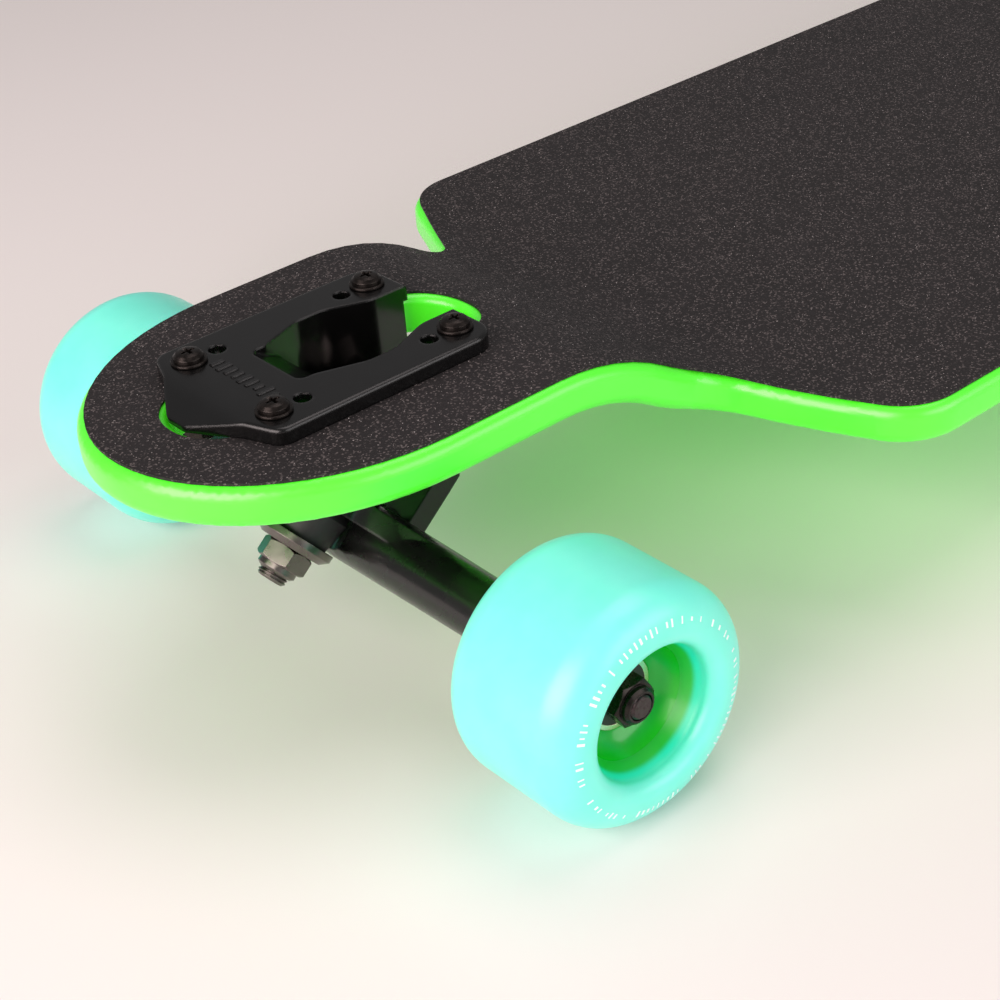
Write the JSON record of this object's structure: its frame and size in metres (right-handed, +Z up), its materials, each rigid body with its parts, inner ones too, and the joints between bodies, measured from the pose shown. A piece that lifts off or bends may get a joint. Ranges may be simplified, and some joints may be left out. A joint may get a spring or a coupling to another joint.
{
  "type": "longboard skateboard",
  "caption": "Drop-through longboard with a dropped twin deck, grit top, sprung reverse-kingpin trucks and soft wheels on ball bearings.",
  "frame": {"origin": "on the ground under the middle of the board", "axes": "+X along the board from nose to tail, +Y across the board, +Z up"},
  "size_m": [0.9104, 0.2634, 0.1022],
  "materials": {
    "lacquered_maple": "neon green lacquer on laminated maple, gloss",
    "grip_tape": "black silicon carbide grit, matt with sparkle",
    "cast_black": "gloss black powder coat on cast aluminium",
    "black_steel": "black oxide steel",
    "zinc_steel": "zinc plated steel",
    "axle_steel": "dark plated alloy steel, rolled thread at the ends",
    "bearing_steel": "ground bearing steel",
    "bearing_shield": "black seal",
    "wheel_urethane": "turquoise translucent urethane, satin",
    "wheel_core": "green injection moulded core",
    "bushing_urethane": "black urethane",
    "pivot_urethane": "black urethane"
  },
  "bodies": {
    "board": {"deck": "lacquered_maple", "grip_tape": "grip_tape", "nose_baseplate": "cast_black", "nose_pivot_cup": "pivot_urethane", "nose_kingpin": "zinc_steel", "nose_boardside_bushing": "bushing_urethane", "nose_roadside_bushing": "bushing_urethane", "nose_boardside_cup_washer": "zinc_steel", "nose_roadside_cup_washer": "zinc_steel", "nose_kingpin_nut": "zinc_steel", "nose_mounting_bolts": "black_steel", "nose_mounting_washers": "black_steel", "nose_mounting_nuts": "black_steel", "tail_baseplate": "cast_black", "tail_pivot_cup": "pivot_urethane", "tail_kingpin": "zinc_steel", "tail_boardside_bushing": "bushing_urethane", "tail_roadside_bushing": "bushing_urethane", "tail_boardside_cup_washer": "zinc_steel", "tail_roadside_cup_washer": "zinc_steel", "tail_kingpin_nut": "zinc_steel", "tail_mounting_bolts": "black_steel", "tail_mounting_washers": "black_steel", "tail_mounting_nuts": "black_steel"},
    "nose_hanger": {"nose_hanger": "cast_black", "nose_axle": "axle_steel", "nose_axle_nuts": "black_steel", "nose_speed_washers": "zinc_steel", "nose_bearing_spacers": "zinc_steel", "nose_bearing_inner_rings": "bearing_steel"},
    "nose_left_wheel": {"nose_left_tyre": "wheel_urethane", "nose_left_core": "wheel_core", "nose_left_bearing_outer_rings": "bearing_steel", "nose_left_bearing_shields": "bearing_shield", "nose_left_bearing_balls": "bearing_steel"},
    "nose_right_wheel": {"nose_right_tyre": "wheel_urethane", "nose_right_core": "wheel_core", "nose_right_bearing_outer_rings": "bearing_steel", "nose_right_bearing_shields": "bearing_shield", "nose_right_bearing_balls": "bearing_steel"},
    "tail_hanger": {"tail_hanger": "cast_black", "tail_axle": "axle_steel", "tail_axle_nuts": "black_steel", "tail_speed_washers": "zinc_steel", "tail_bearing_spacers": "zinc_steel", "tail_bearing_inner_rings": "bearing_steel"},
    "tail_left_wheel": {"tail_left_tyre": "wheel_urethane", "tail_left_core": "wheel_core", "tail_left_bearing_outer_rings": "bearing_steel", "tail_left_bearing_shields": "bearing_shield", "tail_left_bearing_balls": "bearing_steel"},
    "tail_right_wheel": {"tail_right_tyre": "wheel_urethane", "tail_right_core": "wheel_core", "tail_right_bearing_outer_rings": "bearing_steel", "tail_right_bearing_shields": "bearing_shield", "tail_right_bearing_balls": "bearing_steel"}
  },
  "joints": [
    {"name": "nose_steer", "type": "hinge", "parent": "board", "child": "nose_hanger", "pos_m": [-0.38683, 0, 0.05223], "axis": [-0.6428, 0, 0.766], "range_deg": [-18, 18], "stiffness_Nm_per_rad": 60, "deforming": ["nose_boardside_bushing", "nose_roadside_bushing"]},
    {"name": "nose_left_spin", "type": "hinge", "parent": "nose_hanger", "child": "nose_left_wheel", "pos_m": [-0.3793, -0.1072, 0.0357], "axis": [0, 1, 0], "continuous": true},
    {"name": "nose_right_spin", "type": "hinge", "parent": "nose_hanger", "child": "nose_right_wheel", "pos_m": [-0.3793, 0.1072, 0.0357], "axis": [0, 1, 0], "continuous": true},
    {"name": "tail_steer", "type": "hinge", "parent": "board", "child": "tail_hanger", "pos_m": [0.38683, 0, 0.05223], "axis": [0.6428, 0, 0.766], "range_deg": [-18, 18], "stiffness_Nm_per_rad": 60, "deforming": ["tail_boardside_bushing", "tail_roadside_bushing"]},
    {"name": "tail_left_spin", "type": "hinge", "parent": "tail_hanger", "child": "tail_left_wheel", "pos_m": [0.3793, 0.1072, 0.0357], "axis": [0, 1, 0], "continuous": true},
    {"name": "tail_right_spin", "type": "hinge", "parent": "tail_hanger", "child": "tail_right_wheel", "pos_m": [0.3793, -0.1072, 0.0357], "axis": [0, 1, 0], "continuous": true}
  ]
}
